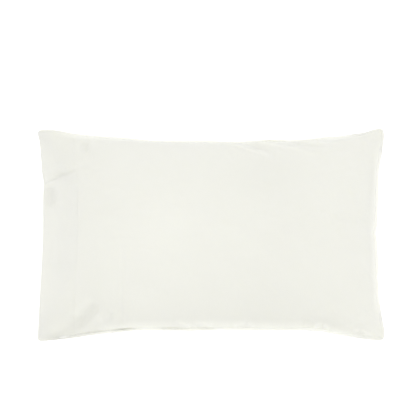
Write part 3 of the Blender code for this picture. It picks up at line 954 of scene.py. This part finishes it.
def stitch_paths(points, facing):
    """The seam's row round three sides and the hem's row, on one panel: places and outward directions."""
    direction = outward(points) * facing
    seated = points + direction * STITCH_SEAT
    round_sides = [(i, SEAM_COLUMN) for i in range(len(LIP_STEPS) - 2, seam_end_row)]
    round_sides += [(seam_end_row, j) for j in range(SEAM_COLUMN, far_column)]
    round_sides += [(i, far_column) for i in range(seam_end_row, len(LIP_STEPS) - 3, -1)]
    hem = [(hem_row, j) for j in range(SEAM_COLUMN + 1, far_column)]
    return [([seated[place] for place in path], [direction[place] for place in path]) for path in (round_sides, hem)]


def paths_object(name, paths):
    """All stitch paths as one mesh of loose edges that carries the outward direction."""
    places, directions, edges = [], [], []
    for path_places, path_directions in paths:
        first = len(places)
        places += path_places
        directions += path_directions
        edges += [(k, k + 1) for k in range(first, len(places) - 1)]
    made = mesh_object(name, [tuple(map(float, p)) for p in places], edges, [])
    attribute = made.data.attributes.new("cloth_up", "FLOAT_VECTOR", "POINT")
    attribute.data.foreach_set("vector", np.array(directions, np.float32).ravel())
    return made


stitch_piece = paths_object("stitch_rows", stitch_paths(front_points, 1) + stitch_paths(back_points, -1))
print("points on the stitch paths:", len(stitch_piece.data.vertices))

# %% Node helpers
class Output:
    """A node's output. It can be plugged into an input, and + - * / on it add a Math node."""

    def __init__(self, socket):
        self.socket = socket

    def maths(self, operation, *others):
        """A Math node with this output as its first number."""
        numbers = dict(enumerate((self, *others)))
        return add_node(self.socket.id_data, "ShaderNodeMath", numbers, operation=operation)

    __add__ = partialmethod(maths, "ADD")
    __sub__ = partialmethod(maths, "SUBTRACT")
    __mul__ = partialmethod(maths, "MULTIPLY")
    __truediv__ = partialmethod(maths, "DIVIDE")


def plug(node, inputs):
    """Links or sets inputs of a node: {input: an Output or a value}."""
    for key, value in dict(inputs).items():
        if isinstance(value, Output):
            node.id_data.links.new(value.socket, node.inputs[key])
        else:
            node.inputs[key].default_value = value


def add_node(tree, kind, inputs=(), output=0, **settings):
    """A node with its settings made and its inputs plugged; gives one of its outputs, or several for a slice."""
    node = tree.nodes.new(kind)
    for key, value in settings.items():
        setattr(node, key, value)
    plug(node, inputs)
    wanted = node.outputs[output]
    return [Output(socket) for socket in wanted] if isinstance(output, slice) else Output(wanted)


ALL = slice(None)


def new_tree(name, kind, inputs, outputs):
    """A node group with named inputs (name, type, default) and outputs: the group, its inputs and its end node."""
    tree = bpy.data.node_groups.new(name, kind)
    for direction, sockets in (("INPUT", inputs), ("OUTPUT", outputs)):
        for label, socket_kind, *default in sockets:
            socket = tree.interface.new_socket(name=label, in_out=direction, socket_type="NodeSocket" + socket_kind)
            if default:
                socket.default_value = default[0]
    given = {socket.name: Output(socket) for socket in tree.nodes.new("NodeGroupInput").outputs}
    return tree, given, tree.nodes.new("NodeGroupOutput")


print("helpers for nodes are ready")

# %% Stitch tree
stitches, given, result = new_tree(
    "row of stitches", "GeometryNodeTree",
    [("Paths", "Geometry"), ("Pitch", "Float", 0.003), ("Length", "Float", 0.0024), ("Thread Width", "Float", 0.0005),
     ("Slant", "Float", 0.06), ("Seed", "Int", 4), ("Thread", "Material")],
    [("Stitches", "Geometry")],
)
stitches.is_modifier = True
add = partial(add_node, stitches)
curves = add("GeometryNodeMeshToCurve", {"Mesh": given["Paths"]})
spaced = add("GeometryNodeResampleCurve", {"Curve": curves, "Length": given["Pitch"]}, mode="LENGTH")
up = add("GeometryNodeInputNamedAttribute", {"Name": "cloth_up"}, "Attribute", data_type="FLOAT_VECTOR")
onto_cloth = add("FunctionNodeAlignRotationToVector", {"Vector": up}, axis="Z")
lengthways = add(
    "FunctionNodeAlignRotationToVector",
    {"Rotation": onto_cloth, "Vector": add("GeometryNodeInputTangent")}, axis="X", pivot_axis="Z",
)
LOWEST, HIGHEST, CHANCE = 2, 3, 1  # the random node's sockets for plain numbers
chance = add(
    "FunctionNodeRandomValue", {LOWEST: given["Slant"] * -1.0, HIGHEST: given["Slant"], "Seed": given["Seed"]},
    CHANCE, data_type="FLOAT",
)
slant = add("FunctionNodeAxisAngleToRotation", {"Axis": (0, 0, 1), "Angle": chance})
turned = add("FunctionNodeRotateRotation", {"Rotation": lengthways, "Rotate By": slant}, rotation_space="LOCAL")
print("stitch tree:", len(stitches.nodes), "nodes so far")

# %% One stitch, placed on every point
FLATNESS = 0.8  # a stitch's height over its width
ball = add("GeometryNodeMeshUVSphere", {"Segments": 6, "Rings": 4, "Radius": 0.5})
lying = add("GeometryNodeTransform", {"Geometry": ball, "Rotation": (0, pi / 2, 0)})
width = given["Thread Width"]
stretch = add("ShaderNodeCombineXYZ", {0: given["Length"], 1: width, 2: width * FLATNESS})
one_stitch = add("GeometryNodeTransform", {"Geometry": lying, "Scale": stretch})
placed = add("GeometryNodeInstanceOnPoints", {"Points": spaced, "Instance": one_stitch, "Rotation": turned})
real = add("GeometryNodeRealizeInstances", {"Geometry": placed})
smooth = add("GeometryNodeSetShadeSmooth", {"Geometry": real})
plug(result, {"Stitches": add("GeometryNodeSetMaterial", {"Geometry": smooth, "Material": given["Thread"]})})
print("stitch tree:", len(stitches.nodes), "nodes")

# %% [markdown]
# ## The woven finish
#
# The photograph shows smooth cream cotton, matt, with hardly a thread to be seen, yet close up it is a
# plain weave: threads over and under each other, about 28 to the centimetre, none quite even. The weave
# is a node group that reads the flat cloth's own map in metres, so it runs true over every fold. A
# second group gives the slubs, a third the slow change of tone of washed cloth and adds to it the
# painted light and shade handed to it, and a fourth says where the hem and the seams have more layers,
# where the seams get painted light and the hem painted shade. The groups hand colours, masks and
# heights to one shader, which stays in the material.

# %% Plain weave group
ALWAYS_UP, COMES_AND_GOES = 0.65, 0.35  # a thread's height, as it passes over and under
weave, given, result = new_tree(
    "plain weave", "ShaderNodeTree",
    [("Flat Place", "Vector"), ("Thread Pitch", "Float", 0.00036)], [("Height", "Float")],
)
u, v, _ = add_node(weave, "ShaderNodeSeparateXYZ", {0: given["Flat Place"]}, ALL)
warp_at, weft_at = u / given["Thread Pitch"], v / given["Thread Pitch"]


def thread_profile(across, along, shift):
    """A thread's height: round across, rising and sinking along as it passes over and under."""
    turn = (along + across.maths("FLOOR") + shift) * pi
    over = turn.maths("SINE") * COMES_AND_GOES
    return (across.maths("FRACT") * pi).maths("SINE") * (over + ALWAYS_UP)


warp, weft = thread_profile(warp_at, weft_at, 0.0), thread_profile(weft_at, warp_at, 1.0)
plug(result, {"Height": warp.maths("MAXIMUM", weft)})
print("weave group:", len(weave.nodes), "nodes")

# %% Slub and tone groups
slubs, given, result = new_tree(
    "thread unevenness", "ShaderNodeTree",
    [("Flat Place", "Vector"), ("Length", "Float", 0.030), ("Width", "Float", 0.0009)], [("Unevenness", "Float")],
)
ways = add_node(slubs, "ShaderNodeSeparateXYZ", {0: given["Flat Place"]}, ALL)
streaks = []
for long, short in ((0, 1), (1, 0)):
    stretched = add_node(slubs, "ShaderNodeCombineXYZ", {
        long: ways[long] / given["Length"], short: ways[short] / given["Width"], 2: 7.0 * long,
    })
    streaks.append(add_node(slubs, "ShaderNodeTexNoise", {"Vector": stretched, "Scale": 1.0, "Detail": 2.0}))
plug(result, {"Unevenness": streaks[0] + streaks[1] - 1.0})

# The tone group adds the painted light and shade handed to it to the cloth's own slow change of tone.
tone, given, result = new_tree(
    "tone of washed cloth", "ShaderNodeTree",
    [("Place", "Vector"), ("Colour", "Color"), ("Size", "Float", 0.12), ("Change", "Float", 0.02),
     ("Unevenness", "Float"), ("Thread Change", "Float", 0.02), ("Layers", "Float")],
    [("Colour", "Color")],
)
add = partial(add_node, tone)
scaling = add("ShaderNodeMath", {0: 1.0, 1: given["Size"]}, operation="DIVIDE")
sized = add("ShaderNodeVectorMath", {0: given["Place"], "Scale": scaling}, operation="SCALE")
clouds = add("ShaderNodeTexNoise", {"Vector": sized, "Scale": 1.0, "Detail": 3.0})
slow, quick = (clouds - 0.5) * given["Change"], given["Unevenness"] * given["Thread Change"]
brightness = slow + quick + given["Layers"] + 1.0
plug(result, {"Colour": add("ShaderNodeVectorMath", {0: given["Colour"], "Scale": brightness}, operation="SCALE")})
print("slub group:", len(slubs.nodes), "nodes, tone group:", len(tone.nodes), "nodes")

# %% Group for layers of cloth
# Its Seam mask says where the seams' painted light goes, its Hem mask where the hem's painted shade goes.
layers, given, result = new_tree(
    "layers of cloth", "ShaderNodeTree",
    [("Flat Place", "Vector"), ("Margin", "Float", 0.10), ("Case Length", "Float", 0.75), ("Case Width", "Float", 0.50),
     ("Hem", "Float", 0.0767), ("Seam Reach", "Float", 0.020), ("Ear Reach", "Float", 0.10)],
    [("Seam", "Float"), ("Hem", "Float")],
)


SEAM_FULL, NO_EAR, HEM_EDGE = 0.003, 0.02, (-0.002, 0.003)


def s_curve(value, start, stop, rises):
    """An S curve between two values: up from 0 to 1, or down from 1 to 0."""
    ends = {"From Min": start, "From Max": stop, "To Min": float(not rises), "To Max": float(rises)}
    return add_node(layers, "ShaderNodeMapRange", {"Value": value} | ends, interpolation_type="SMOOTHSTEP")


u, v, _ = add_node(layers, "ShaderNodeSeparateXYZ", {0: given["Flat Place"]}, ALL)
from_mouth = u - given["Margin"]
from_sewn_end = given["Case Length"] - from_mouth
from_side = v.maths("PINGPONG", given["Case Width"] * 0.5)
by_seam = s_curve(from_side.maths("MINIMUM", from_sewn_end), SEAM_FULL, given["Seam Reach"], False)
from_ear = from_mouth.maths("MINIMUM", from_sewn_end).maths("MAXIMUM", from_side)
off_the_ears = s_curve(from_ear, NO_EAR, given["Ear Reach"], True)
on_hem = s_curve(from_mouth - given["Hem"], *HEM_EDGE, False)
plug(result, {"Seam": by_seam * off_the_ears, "Hem": on_hem})
print("layers group:", len(layers.nodes), "nodes")

# %% Cotton material
CREAM = (0.845, 0.845, 0.785, 1.0)
COTTON_ROUGHNESS, UNEVEN_ROUGHNESS = 0.86, 0.10
HEM_PAINTED_SHADE = 0.004  # painted shade: the hem band is a little darker
THREAD_GAP_PAINTED_SHADE, THREAD_MIDDLE = 0.10, 0.61  # painted shade: the small gaps between the threads are darker


def new_material(name):
    """A material, its shader, and makers of a node and of a placed group in its tree."""
    material = bpy.data.materials.new(name)
    material.use_nodes = True
    add = partial(add_node, material.node_tree)

    def place_group(group, inputs, output=0):
        """One of the groups above, placed in this material."""
        return add("ShaderNodeGroup", inputs, output, node_tree=group)

    return material, material.node_tree.nodes["Principled BSDF"], add, place_group


cotton, shader, add, place_group = new_material("cream_cotton")
flat_place = {"Flat Place": add("ShaderNodeUVMap", uv_map="flat_cloth")}
place = add("ShaderNodeTexCoord", output="Object")
unevenness = place_group(slubs, flat_place)
threads = place_group(weave, flat_place)
on_seam, on_hem = place_group(layers, flat_place, ALL)
# Painted light and shade: lighter seams, a darker hem, the folds' lighter crests and darker tucks with the soft spots,
# and darker gaps between the threads.
painted_seam_and_hem = on_seam * SEAM_PAINTED_LIGHT - on_hem * HEM_PAINTED_SHADE
painted_with_folds = painted_seam_and_hem + add("ShaderNodeAttribute", output="Fac", attribute_name="painted_light_and_shade")
all_painted_shading = painted_with_folds + (threads - THREAD_MIDDLE) * THREAD_GAP_PAINTED_SHADE
colour = place_group(tone, {"Place": place, "Colour": CREAM, "Unevenness": unevenness, "Layers": all_painted_shading})
crumple = add("ShaderNodeTexNoise", {"Vector": place, "Scale": 90.0, "Detail": 3.0, "Roughness": 0.55})
reliefs = ((crumple, 0.5, 0.0005), (unevenness, 0.5, 0.00008), (threads, 0.7, 0.00009))  # strengths, metres
normal = {}
for height, strength, distance in reliefs:  # each lies on the one before
    normal = {"Normal": add("ShaderNodeBump", {"Strength": strength, "Distance": distance, "Height": height} | normal)}
plug(shader, normal | {
    "Base Color": colour,
    "Roughness": unevenness * UNEVEN_ROUGHNESS + COTTON_ROUGHNESS,
    "Specular IOR Level": 0.25,
    "Subsurface Weight": 0.40,  # light passes a little way through cotton
    "Subsurface Radius": (1.0, 1.0, 0.9),
    "Subsurface Scale": 0.0028,
    "Sheen Weight": 0.45,
    "Sheen Roughness": 0.35,
})
cloth_piece.data.materials.append(cotton)
print("cotton:", len(cotton.node_tree.nodes), "nodes")

# %% Thread material
# The thread is the cloth's own colour with a little more shine, and its two plies show as slanting ribs.
THREAD_CREAM = (0.86, 0.86, 0.80, 1.0)
thread, shader, add, place_group = new_material("cream_thread")
place = add("ShaderNodeTexCoord", output="Object")
ribs = {"Vector": place, "Scale": 900.0, "Distortion": 1.0}
plies = add("ShaderNodeTexWave", ribs, "Fac", bands_direction="DIAGONAL")
colour = place_group(tone, {"Place": place, "Colour": THREAD_CREAM, "Unevenness": plies, "Thread Change": 0.03})
twisted = add("ShaderNodeBump", {"Strength": 0.6, "Distance": 0.00006, "Height": plies})
plug(shader, {"Base Color": colour, "Normal": twisted, "Roughness": 0.62, "Sheen Weight": 0.10})
print("thread:", len(thread.node_tree.nodes), "nodes")

# %% Sewing
sewing = stitch_piece.modifiers.new("sewing", "NODES")
sewing.node_group = stitches
chosen = {"Pitch": 0.0030, "Length": 0.0024, "Thread Width": 0.0005, "Slant": 0.06, "Seed": 4, "Thread": thread}
for socket in stitches.interface.items_tree:
    if socket.in_out == "INPUT" and socket.name in chosen:
        sewing[socket.identifier] = chosen[socket.name]
evaluated = stitch_piece.evaluated_get(bpy.context.evaluated_depsgraph_get())
rows_mesh, sewn_mesh = stitch_piece.data, bpy.data.meshes.new_from_object(evaluated)
sewn_mesh.materials.clear()
sewn_mesh.materials.append(thread)
sewn_mesh.polygons.foreach_set("material_index", [0] * len(sewn_mesh.polygons))
stitch_piece.modifiers.remove(sewing)
stitch_piece.data = sewn_mesh
stitch_piece.name = sewn_mesh.name = "pillowcase_stitching"
bpy.data.meshes.remove(rows_mesh)
stitch_triangles = sum(len(p.vertices) - 2 for p in sewn_mesh.polygons)
print(f"{stitch_triangles} triangles in the stitches, material: {sewn_mesh.materials[0].name}")

# %% [markdown]
# ## Studio
#
# The photograph is a cut-out on white: soft light from all round, a little stronger from above and
# behind, with hardly a shadow. So a bright even world does most, and two large soft lights, one above
# and one behind, give the slopes their tone. The floor is plain and pale. Its faint glow keeps it white
# in the picture and lights the case from below a little, with a breath of shade where the case lies.

# %% Floor
FLOOR_HALF, FLOOR_LEVEL = 15.0, -0.0004
FLOOR_GLOW, SEEN_GLOW = 0.06, 0.56  # what lights the case from below, and what the camera sees beyond it
corners = [(x * FLOOR_HALF, y * FLOOR_HALF, FLOOR_LEVEL) for x, y in ((-1, -1), (1, -1), (1, 1), (-1, 1))]
floor = mesh_object("floor", corners, [], [(0, 1, 2, 3)])
pale, shader, add, _ = new_material("pale_floor")
plug(shader, {"Base Color": (0.80, 0.80, 0.79, 1.0), "Roughness": 0.9, "Specular IOR Level": 0.1})
seen = add("ShaderNodeLightPath", output="Is Camera Ray")
glow = add("ShaderNodeEmission", {"Color": (1, 1, 1, 1), "Strength": seen * SEEN_GLOW + FLOOR_GLOW})
lit = add("ShaderNodeAddShader", {0: Output(shader.outputs[0]), 1: glow})
plug(pale.node_tree.nodes["Material Output"], {"Surface": lit})
floor.data.materials.append(pale)
print("floor at", FLOOR_LEVEL)

# %% World and lights
scene.view_settings.view_transform = "Standard"
world = scene.world = bpy.data.worlds.new("studio")
world.use_nodes = True
plug(world.node_tree.nodes["Background"], {"Color": (1.0, 1.0, 1.0, 1.0), "Strength": 1.0})

Soft = namedtuple("Soft", "name x y z size energy")
SOFT_LIGHTS = (
    Soft("softbox behind", 1.5, 1.5, 2.4, 2.4, 1.0),
    Soft("softbox above", 0.2, -0.3, 3.4, 2.0, 8.5),
)
for row in SOFT_LIGHTS:
    light = bpy.data.lights.new(row.name, "AREA")
    light.shape, light.size, light.energy = "SQUARE", row.size, row.energy
    lamp = add_object(row.name, light)
    lamp.location = (row.x, row.y, row.z)
    look_along(lamp, -lamp.location)
print(len(SOFT_LIGHTS), "soft lights")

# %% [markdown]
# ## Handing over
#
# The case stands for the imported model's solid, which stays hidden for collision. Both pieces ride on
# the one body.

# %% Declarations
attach(cloth_piece, "root")
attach(stitch_piece, "root")
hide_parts("pillowcase")
